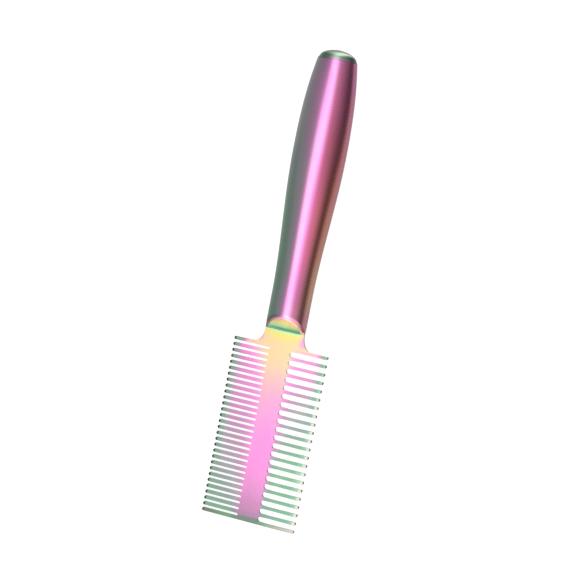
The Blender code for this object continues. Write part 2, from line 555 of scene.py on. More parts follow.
class Shader:
    """A node tree, built up a node at a time."""

    def __init__(self, tree: bpy.types.NodeTree) -> None:
        """Build on a material's tree or the world's."""
        self.tree = tree

    def add(self, kind: str, inputs: dict[str | int, object], **settings: object) -> bpy.types.Node:
        """Add a node with its settings, and its inputs linked or set.

        Args:
            kind: Node type.
            inputs: A wire or socket to link, or a value to set, for each input.
            settings: The node's own settings.

        Returns:
            The node.
        """
        node = self.tree.nodes.new(kind)
        for name, value in settings.items():
            setattr(node, name, value)
        for key, value in inputs.items():
            self.feed(node.inputs[key], value)
        return node

    def feed(self, target: Socket, value: object) -> None:
        """Link a wire or a socket to an input, or set the input's value.

        Args:
            target: The input.
            value: What goes into it.
        """
        source = value.socket if isinstance(value, Wire) else value
        if isinstance(source, bpy.types.NodeSocket):
            self.tree.links.new(source, target)
        else:
            target.default_value = source

    def math(self, operation: str, *values: Wire | float) -> Wire:
        """Work out one step of arithmetic with a Math node."""
        node = self.add("ShaderNodeMath", dict(enumerate(values)), operation=operation)
        return Wire(self, node.outputs[0])

    def axes(self, places: Socket) -> list[Wire]:
        """Part coordinates into X, Y and Z."""
        outputs = self.add("ShaderNodeSeparateXYZ", {0: places}).outputs
        return [Wire(self, output) for output in outputs]

    def grey(self, value: Wire) -> Socket:
        """A grey of the given brightness."""
        return self.add("ShaderNodeCombineColor", {0: value, 1: value, 2: value}).outputs[0]

    def blend(self, share: Wire | float, first: object, second: object, kind: str = "MIX") -> Socket:
        """Mix two colours.

        Args:
            share: How much of the second.
            first: The first colour.
            second: The second colour.
            kind: The Mix node's blend type.

        Returns:
            The mixed colour.
        """
        inputs = {0: share, 6: first, 7: second}
        return self.add("ShaderNodeMix", inputs, data_type="RGBA", blend_type=kind).outputs[2]

    def stain(self, share: Wire, colour: Socket, tint: Rgb) -> Socket:
        """Multiply a colour by a tint, where the share says."""
        return self.blend(share, colour, linear(tint), "MULTIPLY")

    def millimetres(self, origin: Vector) -> Socket:
        """Object coordinates in millimetres from a point of the comb.

        Args:
            origin: Where they start, in metres.

        Returns:
            The coordinates.
        """
        places = self.add("ShaderNodeTexCoord", {}).outputs["Object"]
        moved = tuple(-value / MM for value in origin)
        inputs = {"Vector": places, "Location": moved, "Scale": (1 / MM, 1 / MM, 1 / MM)}
        return self.add("ShaderNodeMapping", inputs).outputs[0]

    def noise(self, places: Socket, stretch: Grain, detail: float = 2.0) -> Wire:
        """Fine variation over the surface.

        Args:
            places: Coordinates in millimetres.
            stretch: Spots for each millimetre along X, Y and Z.
            detail: Number of finer layers.

        Returns:
            Values about a half.
        """
        scaled = self.add("ShaderNodeMapping", {"Vector": places, "Scale": stretch}).outputs[0]
        inputs = {"Vector": scaled, "Scale": 1.0, "Detail": detail, "Roughness": 0.55}
        return Wire(self, self.add("ShaderNodeTexNoise", inputs).outputs[0])


class SurfaceShader(Shader):
    """A material's tree, with its Principled surface."""

    def __init__(self, name: str, metallic: float = 1.0) -> None:
        """Start an empty material: a metal, unless told otherwise."""
        self.material = bpy.data.materials.new(name)
        self.material.use_nodes = True
        super().__init__(self.material.node_tree)
        self.surface = self.tree.nodes["Principled BSDF"]
        self.surface.inputs["Metallic"].default_value = metallic

    def finish(self, colour: Socket, rough: Wire, grain: Wire, grain_height: float) -> bpy.types.Material:
        """Wire up a steel surface.

        Args:
            colour: The steel's colour.
            rough: Its roughness.
            grain: Pattern of the bump.
            grain_height: Height of the bump, in metres.

        Returns:
            The material.
        """
        bump = self.add("ShaderNodeBump", {"Height": grain, "Strength": 1.0, "Distance": grain_height})
        self.feed(self.surface.inputs["Base Color"], colour)
        self.feed(self.surface.inputs["Roughness"], rough)
        self.feed(self.surface.inputs["Normal"], bump.outputs[0])
        return self.material


class Spot(NamedTuple):
    """A point of a finish: its tree, and its place across, along and above the plate, in millimetres."""

    shader: Shader
    x: Wire
    y: Wire
    z: Wire


@dataclass(frozen=True)
class FilmCoat:
    """Thin coloured film over satin-ground steel. Subclasses say how thick the film lies where."""

    layout: Layout
    roughness: float = 0.26
    roughness_spread: float = 0.03
    grain: Grain = (6.0, 2.2, 6.0)
    grain_height: float = 0.0012 * MM
    drift_grain: Grain = (0.12, 0.05, 0.12)
    film_drift: float = 0.03
    fleck_grain: Grain = (9.0, 9.0, 9.0)
    fleck: float = 0.015

    def origin(self) -> Vector:
        """Where this finish measures from: the handle's axis, level with the shoulders."""
        return Vector((self.layout.axis_x, self.layout.shoulder_y, 0))

    def film(self, spot: Spot) -> Wire:
        """How thick the film lies, from 0 to 1 on the run of tints. Each finish says its own."""
        raise NotImplementedError

    def shade(self, spot: Spot, colour: Socket) -> Socket:
        """Last change to the film's colour; plain unless a finish says otherwise."""
        return colour

    def make(self, name: str) -> bpy.types.Material:
        """Build the finish's material.

        Args:
            name: The material's name.

        Returns:
            The material.
        """
        shader = SurfaceShader(name)
        places = shader.millimetres(self.origin())
        spot = Spot(shader, *shader.axes(places))
        drift = shader.noise(places, self.drift_grain, 1.0)
        drift = drift.ramp(*NOISE_SPAN, -self.film_drift / 2, self.film_drift / 2)
        tints = shader.add("ShaderNodeValToRGB", {0: self.film(spot) + drift})
        stops = tints.color_ramp.elements
        for tint in list(Tint)[len(stops):]:
            stops.new(tint.value[0])
        for stop, tint in zip(stops, Tint):
            stop.position, stop.color = tint.value[0], linear(tint.value[1])
        colour = self.shade(spot, tints.outputs[0])
        grain = shader.noise(places, self.grain, 3.0)
        value = shader.noise(places, self.fleck_grain).ramp(*NOISE_SPAN, 1 - self.fleck, 1 + self.fleck)
        colour = shader.blend(1.0, colour, shader.grey(value), "MULTIPLY")
        low, high = self.roughness - self.roughness_spread, self.roughness + self.roughness_spread
        return shader.finish(colour, grain.ramp(*NOISE_SPAN, low, high), grain, self.grain_height)


@dataclass(frozen=True)
class PlateFilm(FilmCoat):
    """The comb plate's film: peach at the neck, pink along the spine, green at the tips and the end."""

    half_spine: float = 4.35
    neck_bow: float = 0.028
    bow_fade: Span = (6.3, 5.0)
    neck_edges: Span = (6.8, 8.8)
    neck_edge_fade: Span = (0.3, 2.0)
    neck_edge_rise: float = 0.16
    neck_places: Places = (
        (0.0, 0.30), (1.0, 0.30), (3.5, 0.24), (5.2, 0.20), (5.8, 0.15), (6.3, 0.10), (6.65, 0.0),
    )
    spine_places: Places = (
        (-74.9, 0.89), (-73.3, 0.84), (-72.0, 0.77), (-70.0, 0.72), (-66.0, 0.68), (-60.0, 0.62),
        (-55.0, 0.58), (-46.0, 0.54), (-38.0, 0.52), (-30.0, 0.50), (-22.0, 0.46), (-14.0, 0.38),
        (-8.0, 0.32), (-4.0, 0.30), (0.0, 0.30),
    )
    coarse_rise: Places = (
        (-74.0, 0.30), (-57.0, 0.42), (-43.0, 0.37), (-29.0, 0.28), (-15.0, 0.25), (-7.5, 0.24),
        (-3.4, 0.22), (-1.6, 0.06), (0.0, 0.06),
    )
    fine_rise: Places = (
        (-74.0, 0.12), (-69.0, 0.13), (-56.0, 0.18), (-41.0, 0.17), (-26.0, 0.13), (-14.0, 0.18),
        (0.0, 0.01),
    )
    fine_slope: Places = ((-75.0, 0.0), (-17.0, 0.0), (-8.0, 0.15), (-3.0, 0.17), (-1.5, 0.0), (0.0, 0.0))
    slope_reach: Span = (7.0, 15.0)
    rise_reach: float = 2.0
    creep_from: float = 6.0
    creep: float = 0.006
    thickest: float = 0.915
    fine_tip: Span = (15.3, 19.0)
    fine_tip_film: float = 0.89
    fine_tip_early: Places = ((-75.0, 0.0), (-2.2, 0.0), (-1.5, 2.6), (0.0, 2.6))
    coarse_tip: Span = (15.2, 19.8)
    coarse_tip_film: float = 0.95
    # Painted highlight: a cream spot raised into the film just inside the coarse tips, for their bright
    # reflection; where it lies and how strongly it rises along the row.
    coarse_tip_highlight: Span = (18.7, 19.5)
    coarse_tip_highlight_rise: Places = ((-75.0, 0.07), (-25.0, 0.06), (-12.0, 0.0), (0.0, 0.0))
    bar_film: Span = (-73.0, -73.5)
    bar_film_reach: Span = (6.0, 19.0)
    bar_film_rise: float = 0.05
    # Painted shade: dark ends on the fine tips and brown ends on the coarse tips, standing for the dark
    # reflection of the rounded tip ends.
    fine_tip_shade: Span = (-18.8, -19.6)
    fine_tip_shade_tint: Rgb = (92, 78, 80)
    coarse_tip_shade: Span = (20.0, 20.55)
    coarse_tip_shade_tint: Rgb = (120, 100, 90)
    spine_fade: Span = (9.0, 5.0)
    blush_tint: Rgb = (255, 217, 244)
    blush_places: Places = (
        (-73.6, 0.0), (-72.6, 0.9), (-72.0, 1.0), (-70.0, 0.65), (-68.0, 0.45), (-62.0, 0.0),
    )
    # Painted shade: a grey darkening of the spine towards the end bar.
    end_shade: Span = (-72.0, -73.4)
    end_shade_tint: Rgb = (222, 220, 222)
    bar: Span = (-73.2, -73.6)
    bar_pale: Ramp = (5.0, 15.0, 0.0, 0.6)
    bar_tint: Rgb = (208, 184, 182)
    bar_dark: Ramp = (-6.0, -17.0, 0.1, 0.6)
    bar_brown: Rgb = (118, 104, 92)
    rub_grain: Grain = (1.1, 1.1, 0.6)
    rub: Ramp = (0.45, 0.65, 0.0, 0.4)
    corner: Span = (0.68, 0.56)
    worn_tint: Rgb = (214, 212, 206)

    def origin(self) -> Vector:
        """Measured from the spine's centre line, level with the shoulders."""
        return Vector((self.layout.spine_x, self.layout.shoulder_y, 0))

    def film(self, spot: Spot) -> Wire:
        """Thickness along the spine and neck, with its rise along the teeth and a painted highlight near the
        coarse tips.

        Args:
            spot: The point.

        Returns:
            The film's thickness.
        """
        x, y, across = spot.x, spot.y, abs(spot.x)
        on_neck, coarse_side = y.above(0.0), x.above(0.0)
        on_row = 1.0 - on_neck
        bowed = x * x * y.ramp(*self.bow_fade, 0.0, -self.neck_bow) + y
        along = on_neck.pick(y.follow(self.spine_places), bowed.follow(self.neck_places))
        out = (across - self.half_spine).math("MAXIMUM", 0.0)
        rise = 1.0 - out.math("DIVIDE", -self.rise_reach).math("EXPONENT")
        height = coarse_side.pick(y.follow(self.fine_rise), y.follow(self.coarse_rise))
        creep = (across - self.creep_from).math("MAXIMUM", 0.0) * self.creep
        edge = across.ramp(*self.neck_edges, 0.0, self.neck_edge_rise, True) * on_neck
        thickness = (height * rise + creep) * on_row + along + edge * y.ramp(*self.neck_edge_fade)
        capped = thickness.math("MINIMUM", self.thickest)
        lift = y.follow(self.fine_slope) * across.ramp(*self.slope_reach)
        fine_tip = (across + y.follow(self.fine_tip_early)).ramp(*self.fine_tip, smooth=True)
        fine = fine_tip.pick(capped + lift, self.fine_tip_film)
        coarse = across.ramp(*self.coarse_tip, smooth=True).pick(capped, self.coarse_tip_film)
        # Painted highlight near the coarse tips, with the end bar's own film rise added to it.
        pale = across.ramp(*self.coarse_tip_highlight) * y.follow(self.coarse_tip_highlight_rise)
        pale += y.ramp(*self.bar_film) * across.ramp(*self.bar_film_reach, 0.0, self.bar_film_rise)
        return on_neck.pick(coarse_side.pick(fine, coarse + pale), thickness)

    def shade(self, spot: Spot, colour: Socket) -> Socket:
        """Paint shade onto the tips' ends and the spine's end, tint and darken the end bar, and rub the film
        thin along the outline's edges.

        Args:
            spot: The point.
            colour: The film's colour.

        Returns:
            The colour to use.
        """
        shader, x, y, z = spot
        # Painted shade: the fine and the coarse tips' dark ends.
        colour = shader.stain(x.ramp(*self.fine_tip_shade, smooth=True), colour, self.fine_tip_shade_tint)
        colour = shader.stain(x.ramp(*self.coarse_tip_shade, smooth=True), colour, self.coarse_tip_shade_tint)
        on_spine = abs(x).ramp(*self.spine_fade)
        colour = shader.stain(y.follow(self.blush_places) * on_spine, colour, self.blush_tint)
        # Painted shade: the spine darkened towards the end bar.
        colour = shader.stain(y.ramp(*self.end_shade) * on_spine, colour, self.end_shade_tint)
        on_bar = y.ramp(*self.bar)
        colour = shader.blend(on_bar * x.ramp(*self.bar_pale), colour, linear(self.bar_tint))
        colour = shader.blend(on_bar * x.ramp(*self.bar_dark), colour, linear(self.bar_brown))
        rub = shader.noise(shader.millimetres(self.origin()), self.rub_grain, 3.0)
        worn = abs(z).ramp(*self.corner) * rub.ramp(*self.rub)
        return shader.blend(worn, colour, linear(self.worn_tint))


@dataclass(frozen=True)
class HandleFilm(FilmCoat):
    """The shells' film: pink over the crest, grey-green down one flank and copper down the other."""

    crest: Places = ((11.0, 0.45), (14.0, 0.47), (19.0, 0.50), (30.0, 0.52), (118.0, 0.52))
    green_rise: Places = ((6.0, 0.46), (12.0, 0.45), (20.0, 0.36), (60.0, 0.35), (90.0, 0.28), (118.0, 0.26))
    green_round: Places = (
        (-60.0, 1.0), (-38.0, 1.0), (-30.0, 0.90), (-22.0, 0.78), (-15.0, 0.72), (-9.0, 0.62),
        (-3.0, 0.42), (3.0, 0.12), (8.0, 0.0),
    )
    copper_fall: Places = (
        (6.0, 0.02), (13.0, 0.04), (17.0, 0.12), (26.0, 0.17), (36.0, 0.17), (60.0, 0.14), (90.0, 0.06),
        (118.0, 0.02),
    )
    copper: Span = (22.0, 64.0)
    warm: Span = (14.0, 30.0)
    warm_fade: Ramp = (60.0, 90.0, 1.0, 0.45)
    copper_tint: Rgb = (255, 205, 194)
    copper_strength: Places = (
        (11.0, 0.5), (25.0, 0.6), (50.0, 1.0), (85.0, 0.95), (100.0, 0.75), (118.0, 0.5),
    )
    # Painted highlight over the crest: where it starts and ends round the handle, its pale pink colour and
    # its strength along the handle.
    crest_highlight_start: Span = (-8.0, 2.0)
    crest_highlight_end: Span = (17.0, 8.0)
    crest_highlight_tint: Rgb = (255, 204, 240)
    crest_highlight_strength: Places = (
        (11.0, 0.0), (25.0, 0.12), (50.0, 0.28), (82.0, 0.26), (100.0, 0.08), (118.0, 0.0),
    )
    rim: Span = (6.9, 8.0)
    rim_film: float = 0.47
    face_edge: Span = (0.9, 0.2)
    face_places: Places = (
        (0.7, 0.08), (1.1, 0.03), (1.5, 0.0), (2.0, 0.01), (2.5, 0.035), (3.5, 0.075), (4.5, 0.115),
        (5.5, 0.15), (6.5, 0.23), (7.5, 0.40), (8.2, 0.45), (8.6, 0.47),
    )
    face_gamma: float = 0.62

    def radius(self, spot: Spot) -> Wire:
        """Distance from the handle's axis, in millimetres."""
        return (spot.x * spot.x + spot.z * spot.z).math("SQRT")

    def on_face(self, spot: Spot) -> Wire:
        """How nearly a point lies on the nose's bevelled face: 1 on it, 0 away from it.

        Args:
            spot: The point.

        Returns:
            The share.
        """
        lean = 1 / math.tan(math.radians(self.layout.bevel_angle))
        nose = (self.layout.nose_y - self.layout.shoulder_y) / MM
        plane = abs(spot.z) * lean + (nose - lean * self.layout.half_plate / MM)
        return (spot.y - plane).ramp(*self.face_edge, smooth=True)

    def film(self, spot: Spot) -> Wire:
        """Thickness round the handle, and up the bevelled face of its nose.

        Args:
            spot: The point.

        Returns:
            The film's thickness.
        """
        y, height = spot.y, abs(spot.z)
        turn = spot.x.turn_from(height)
        rise = turn.follow(self.green_round) * y.follow(self.green_rise)
        fall = turn.ramp(*self.copper, smooth=True) * y.follow(self.copper_fall)
        body = y.follow(self.crest) + rise - fall
        rim = self.radius(spot).ramp(*self.rim, 0.0, self.rim_film, True)
        return self.on_face(spot).pick(body, height.follow(self.face_places).math("MAXIMUM", rim))

    def shade(self, spot: Spot, colour: Socket) -> Socket:
        """Warm the coarse side's flank to copper, paint a pale highlight over the crest and thin the film on
        the nose's face.

        Args:
            spot: The point.
            colour: The film's colour.

        Returns:
            The colour to use.
        """
        shader, y = spot.shader, spot.y
        turn = spot.x.turn_from(abs(spot.z))
        warm = turn.ramp(*self.warm, smooth=True) * turn.ramp(*self.warm_fade)
        colour = shader.stain(warm * y.follow(self.copper_strength), colour, self.copper_tint)
        # Painted highlight: a pale pink blend over the crest, standing for the bright reflection there.
        sheen = turn.ramp(*self.crest_highlight_start, smooth=True) * turn.ramp(*self.crest_highlight_end)
        colour = shader.blend(sheen * y.follow(self.crest_highlight_strength), colour, linear(self.crest_highlight_tint))
        thin = shader.add("ShaderNodeGamma", {"Color": colour, "Gamma": self.face_gamma}).outputs[0]
        inside = self.radius(spot).ramp(*reversed(self.rim))
        return shader.blend(self.on_face(spot) * inside, colour, thin)


@dataclass(frozen=True)
class CapFilm(FilmCoat):
    """The butt cap's film: mint over the dome, mauve at its foot, greener on the fine side."""

    along_places: Places = (
        (112.0, 0.58), (118.1, 0.66), (118.6, 0.74), (119.1, 0.84), (119.6, 0.91), (120.2, 0.955),
        (120.9, 0.965), (121.4, 0.92), (121.9, 0.84), (122.2, 0.82),
    )
    across_rise: float = 0.004
    foot_places: Places = (
        (-8.1, 0.89), (-5.0, 0.86), (-2.5, 0.80), (0.0, 0.68), (3.0, 0.66), (5.0, 0.74), (7.0, 0.80),
        (8.1, 0.80),
    )
    top: Span = (120.4, 121.6)
    top_tint: Rgb = (230, 194, 204)

    def film(self, spot: Spot) -> Wire:
        """Thickness up the dome and across it."""
        along = spot.x * self.across_rise + spot.y.follow(self.along_places)
        return along.math("MAXIMUM", spot.x.follow(self.foot_places))

    def shade(self, spot: Spot, colour: Socket) -> Socket:
        """Redden the top of the dome."""
        return spot.shader.stain(spot.y.ramp(*self.top), colour, self.top_tint)


@dataclass(frozen=True)
class DrawnSteel:
    """Plain drawn steel for the hidden pins, with fine lines along them."""

    colour: Rgb = (205, 203, 199)
    worn_colour: Rgb = (168, 165, 160)
    line_grain: Grain = (7.0, 7.0, 0.4)
    line_span: Span = (0.35, 0.65)
    line_height: float = 0.004 * MM
    roughness: Span = (0.28, 0.42)

    def make(self, name: str, axis: Vector) -> bpy.types.Material:
        """Build the material.

        Args:
            name: The material's name.
            axis: A point of the comb to measure from.

        Returns:
            The material.
        """
        shader = SurfaceShader(name)
        lines = shader.noise(shader.millimetres(axis), self.line_grain, 3.0)
        share = lines.ramp(*self.line_span)
        colour = shader.blend(share, linear(self.worn_colour), linear(self.colour))
        return shader.finish(colour, lines.ramp(*NOISE_SPAN, *self.roughness), lines, self.line_height)


# ---------------------------------------------------------------- the comb plate


@dataclass
class ToothRow:
    """One toothed edge of the plate."""

    name: str
    side: int
    teeth: int
    tooth_width: float
    waist: float
    waist_at: float = 9.0 * MM

    def pitch(self, row_length: float) -> float:
        """Distance from one tooth to the next."""
        return (row_length - self.tooth_width) / (self.teeth - 1)


@dataclass
class CombPlate:
    """The flat plate: two rows of teeth on a spine, and the neck that runs into the handle."""

    layout: Layout
    spine_width: float = 8.7 * MM
    fillet_across: float = 4.2 * MM
    fillet_along: float = 6.0 * MM
    neck_gap: float = 0.06 * MM
    slot_overrun: float = 2.0 * MM
    square_on: float = 0.99
    tang_length: float = 30.0 * MM
    tang_width: float = 14.0 * MM
    edge_round: float = 0.06 * MM
    edge_steps: int = 2
    tip_share: float = 0.495
    tip_steps: int = 6
    slot_sides: int = 20
    fillet_sides: int = 64
    neck_score: float = 0.2 * MM
    near: float = 0.01 * MM
    rows: list[ToothRow] = field(default_factory=lambda: [
        ToothRow("fine", -1, 30, 1.4 * MM, 1.4 * MM),
        ToothRow("coarse", 1, 22, 1.3 * MM, 1.1 * MM),
    ])

    def slot_radius(self, row: ToothRow) -> float:
        """Radius of the round root between two teeth of a row."""
        return (row.pitch(self.layout.row_length) - row.tooth_width) / 2

    def root_x(self, row: ToothRow) -> float:
        """Where the centres of a row's round roots stand."""
        return self.layout.spine_x + row.side * (self.spine_width / 2 + self.slot_radius(row))

    def tip_x(self, row: ToothRow) -> float:
        """Where a row's tips stand."""
        low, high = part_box(PLATE_NODE)
        return low.x if row.side < 0 else high.x

    def blank(self) -> Workpiece:
        """Make the plate before its slots are cut.

        Returns:
            The blank.
        """
        at = self.layout
        thick = at.half_plate
        low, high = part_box(PLATE_NODE)
        plate = Workpiece.box(
            f"{PLATE_NODE}_dressed",
            Vector((low.x, at.end_y, -thick)),
            Vector((high.x, at.shoulder_y, thick)),
        )
        half = at.waist_radius + self.fillet_across
        top = at.nose_y - self.neck_gap
        neck = Workpiece.box(
            "neck_block",
            Vector((at.axis_x - half, at.shoulder_y - self.fillet_along, -thick)),
            Vector((at.axis_x + half, top, thick)),
        )
        plate.combine(neck, "UNION")
        along, radii = Vector((0, 1, 0)), (self.fillet_across, self.fillet_along)
        for side in (-1, 1):
            centre = Vector((at.axis_x + side * half, at.shoulder_y + self.fillet_along, 0))
            fillet = self.open_slot("fillet", centre, radii, along, self.fillet_along, self.fillet_sides)
            plate.combine(fillet, "DIFFERENCE")
        tang = Workpiece.box(
            "tang_block",
            Vector((at.axis_x - self.tang_width / 2, top - self.fillet_along, -thick)),
            Vector((at.axis_x + self.tang_width / 2, at.nose_y + self.tang_length, thick)),
        )
        plate.combine(tang, "UNION")
        return plate

    def open_slot(self, name: str, centre: Vector, radii: tuple[float, float], outwards: Vector,
                  length: float, sides: int) -> Workpiece:
        """Make a cutter with one round end, open the other way.

        Args:
            name: The cutter's name.
            centre: Centre of its round end.
            radii: Half widths of the round end.
            outwards: The way it runs.
            length: How far it runs.
            sides: Facets of the full round.

        Returns:
            The cutter.
        """
        cutter = Workpiece.rod(name, centre, radii, 6 * self.layout.half_plate, sides)
        cutter.cut_off(centre, outwards)
        with cutter.editing():
            self.pick_mouth(cutter, outwards)
            cutter.draw_out(outwards * length)
            cutter.face_outwards()
        return cutter

    def pick_mouth(self, cutter: Workpiece, outwards: Vector) -> None:
        """Select a cutter's flat end face. Used inside editing()."""
        cutter.pick(Part.FACES, lambda face: face.normal.dot(outwards) > self.square_on)

    def cut_row(self, plate: Workpiece, row: ToothRow) -> None:
        """Cut one row's slots: one cutter, copied down the row.

        Args:
            plate: The blank.
            row: The row.
        """
        pitch, radius, root = row.pitch(self.layout.row_length), self.slot_radius(row), self.root_x(row)
        first = self.layout.shoulder_y - row.tooth_width / 2 - pitch / 2
        centre = Vector((root, first, 0))
        outwards = Vector((row.side, 0, 0))
        narrow = self.layout.spine_x + row.side * row.waist_at
        taper = abs(self.tip_x(row) - narrow) - row.tooth_width / 2
        run = taper + self.slot_overrun
        wide = pitch - row.waist
        mouth = wide - (row.tooth_width - row.waist) * run / taper
        cutter = self.open_slot(
            f"{row.name}_slot", centre, (radius, radius), outwards, abs(narrow - root), self.slot_sides
        )
        with cutter.editing():
            self.pick_mouth(cutter, outwards)
            bpy.ops.transform.resize(value=(1, wide / (2 * radius), 1), center_override=centre)
            cutter.draw_out(outwards * run)
            bpy.ops.transform.resize(value=(1, mouth / wide, 1), center_override=centre)
        copies = [
            cutter.copy(f"{row.name}_slot_{number}", Matrix.Translation((0, -pitch * number, 0)))
            for number in range(1, row.teeth - 1)
        ]
        cutter.absorb(copies)
        plate.combine(cutter, "DIFFERENCE")

    def round_tips(self, plate: Workpiece, row: ToothRow) -> None:
        """Round each tooth's end as seen from above.

        Args:
            plate: The slotted plate.
            row: The row.
        """
        tip = self.tip_x(row)

        def is_tip_corner(edge: bmesh.types.BMEdge) -> bool:
            """Whether an edge stands upright at a tip."""
            upright = abs(edge.verts[0].co.z - edge.verts[1].co.z) > self.layout.half_plate
            return upright and stands_at(edge, "x", tip, self.near)

        with plate.editing():
            plate.weld(self.near)
            plate.pick(Part.EDGES, is_tip_corner)
            plate.bevel(row.tooth_width * self.tip_share, self.tip_steps)

    def soften_edges(self, plate: Workpiece) -> None:
        """Round the whole outline's upper and lower edges.

        Args:
            plate: The plate with its tips rounded.
        """
        level = self.layout.half_plate

        def is_outline(edge: bmesh.types.BMEdge) -> bool:
            """Whether an edge is part of the outline, above or below.

            Args:
                edge: The edge.

            Returns:
                Whether it is.
            """
            flat = any(stands_at(edge, "z", side, self.near) for side in (-level, level))
            uprights = [face for face in edge.link_faces if abs(face.normal.z) < 0.5]
            return flat and len(edge.link_faces) == 2 and len(uprights) == 1

        with plate.editing():
            plate.weld(self.near)
            plate.pick(Part.EDGES, is_outline)
            plate.bevel(self.edge_round, self.edge_steps)

    def score_roots(self, plate: Workpiece) -> None:
        """Part the flat faces along the teeth's roots and the shoulders, so that each tooth has its own.

        Args:
            plate: The plate with its edges rounded.
        """
        for row in self.rows:
            plate.score(Vector((self.root_x(row), 0, 0)), Vector((1, 0, 0)))
        plate.score(Vector((0, self.layout.shoulder_y - self.neck_score, 0)), Vector((0, 1, 0)))

    def build(self, finish: PlateFilm) -> None:
        """Make, finish and place the plate.

        Args:
            finish: Its film.
        """
        plate = self.blank()
        for row in self.rows:
            self.cut_row(plate, row)
            self.round_tips(plate, row)
        self.soften_edges(plate)
        self.score_roots(plate)
        plate.tidy()
        plate.dress(finish.make("plate_film"), PLATE_NODE, "comb_plate_steel")


# ---------------------------------------------------------------- the handle


@dataclass
class Handle:
    """The hollow handle: two half shells, the two bevelled cheeks in its nose, and the domed butt cap."""

    layout: Layout
    wall: float = 1.0 * MM
    seam: float = 0.05 * MM
    slit: float = 0.25 * MM
    hairline: float = 0.04 * MM
    overrun: float = 1.0 * MM
    rim_round: float = 1.5 * MM
    lip_round: float = 0.12 * MM
    near: float = 0.01 * MM
    nearer: float = 0.001 * MM
    rim_steps: int = 8
    end_round: float = 0.08 * MM
    end_steps: int = 2
    dome_bulge: float = 0.85 * MM
    bulge_peak: float = 4 / 27
    cheek_length: float = 26.0 * MM
    lip_reach: float = 2.0 * MM
    skirt: float = 6.0 * MM
    sides: int = 96
    rings: int = 48
    dome_rings: int = 24

    def axis(self, y: float) -> Vector:
        """The point of the handle's axis at y."""
        return Vector((self.layout.axis_x, y, 0))

    def waste_normal(self) -> Vector:
        """The way the front bevel's face looks, along the comb and up."""
        angle = math.radians(self.layout.bevel_angle)
        return Vector((0, -math.sin(angle), math.cos(angle)))

    def face_point(self) -> Vector:
        """Where the front bevel's face meets the plate's face."""
        return self.axis(self.layout.nose_y) + Vector((0, 0, self.layout.half_plate))

    def sweep(self, piece: Workpiece, stations: list[Ring]) -> None:
        """Draw a ring out through the next stations.

        Args:
            piece: An open ring of points.
            stations: Each ring's place along the comb and its radius, the first being the piece's own.
        """
        with piece.editing():
            bpy.ops.mesh.select_all(action="SELECT")
            for (y, radius), (next_y, next_radius) in zip(stations, stations[1:]):
                piece.draw_out(Vector((0, next_y - y, 0)))
                share = next_radius / radius
                bpy.ops.transform.resize(value=(share, 1, share), center_override=self.axis(next_y))

    def trim_nose(self, piece: Workpiece, level: float) -> None:
        """Cut a front piece's lower side level, and its nose square and bevelled.

        Args:
            piece: The piece, running past the nose.
            level: Height of its lower side.
        """
        piece.cut_off(Vector((0, 0, level)), Vector((0, 0, -1)))
        piece.cut_off(self.axis(self.layout.nose_y), Vector((0, -1, 0)))
        piece.cut_off(self.face_point(), self.waste_normal())

    def turned_over(self, piece: Workpiece, name: str) -> Workpiece:
        """Copy a front piece to the back, half a turn round the handle's axis.

        Args:
            piece: The front piece.
            name: Name of the copy.

        Returns:
            The back piece.
        """
        middle = Matrix.Translation(self.axis(0))
        return piece.copy(name, middle @ Matrix.Rotation(math.pi, 4, "Y") @ middle.inverted())

    def swept(self, name: str, stations: list[Ring]) -> Workpiece:
        """Turn a closed solid through the given stations.

        Args:
            name: The solid's name.
            stations: Each ring's place along the comb and its radius.

        Returns:
            The solid.
        """
        first, radius = stations[0]
        solid = Workpiece.ring(name, self.axis(first), radius, self.sides)
        self.sweep(solid, stations)
        with solid.editing():
            for end in (first, stations[-1][0]):
                solid.pick(Part.EDGES, lambda edge, end=end: stands_at(edge, "y", end, self.near))
                bpy.ops.mesh.edge_face_add()
            solid.face_outwards()
        return solid

    def stations(self, wall: float, further: float) -> list[Ring]:
        """Rings of the shell's outer skin, or of its bore, from before the nose to the cap's seat.

        Args:
            wall: How far below the outer skin they lie.
            further: How much further than the skin's the first and last rings stand.

        Returns:
            Each ring's place along the comb and its radius.
        """
        at = self.layout
        end = at.rim_y - self.hairline / 2
        waist = at.nose_y + at.waist_length
        places = [waist + (end - waist) * number / self.rings for number in range(self.rings + 1)]
        rings = [(at.nose_y - self.overrun - further, at.waist_radius - wall)]
        rings += [(y, at.radius_at(y) - wall) for y in places]
        rings[-1] = (end + further, rings[-1][1])
        return rings

    def form(self) -> Workpiece:
        """Make the front half's outer form, solid, with its nose bevelled and the bevel's rim rounded.

        Returns:
            The form, that the shell and the cheek are both cut from.
        """
        form = self.swept("front_form", self.stations(0.0, 0.0))
        self.trim_nose(form, self.seam / 2)
        normal, point = self.waste_normal(), self.face_point()
        skin = self.layout.waist_radius * math.cos(math.pi / self.sides) - self.near

        def on_rim(edge: bmesh.types.BMEdge) -> bool:
            """Whether an edge is part of the bevelled face's outer rim.

            Args:
                edge: The edge.

            Returns:
                Whether it is.
            """
            middle = (edge.verts[0].co + edge.verts[1].co) / 2
            flush = all(abs((vert.co - point).dot(normal)) < self.near for vert in edge.verts)
            return flush and (middle - self.axis(middle.y)).length > skin

        with form.editing():
            form.pick(Part.EDGES, on_rim)
            form.bevel(self.rim_round, self.rim_steps)
        return form

    def front_shell(self, form: Workpiece) -> Workpiece:
        """Bore the form out to the front half shell.

        Args:
            form: The outer form.

        Returns:
            The shell.
        """
        shell = form.copy("handle_shell_front_dressed", Matrix())
        shell.combine(self.swept("bore", self.stations(self.wall, self.overrun)), "DIFFERENCE")
        end = self.layout.rim_y - self.hairline / 2
        skin = self.layout.radius_at(end) - self.wall / 2

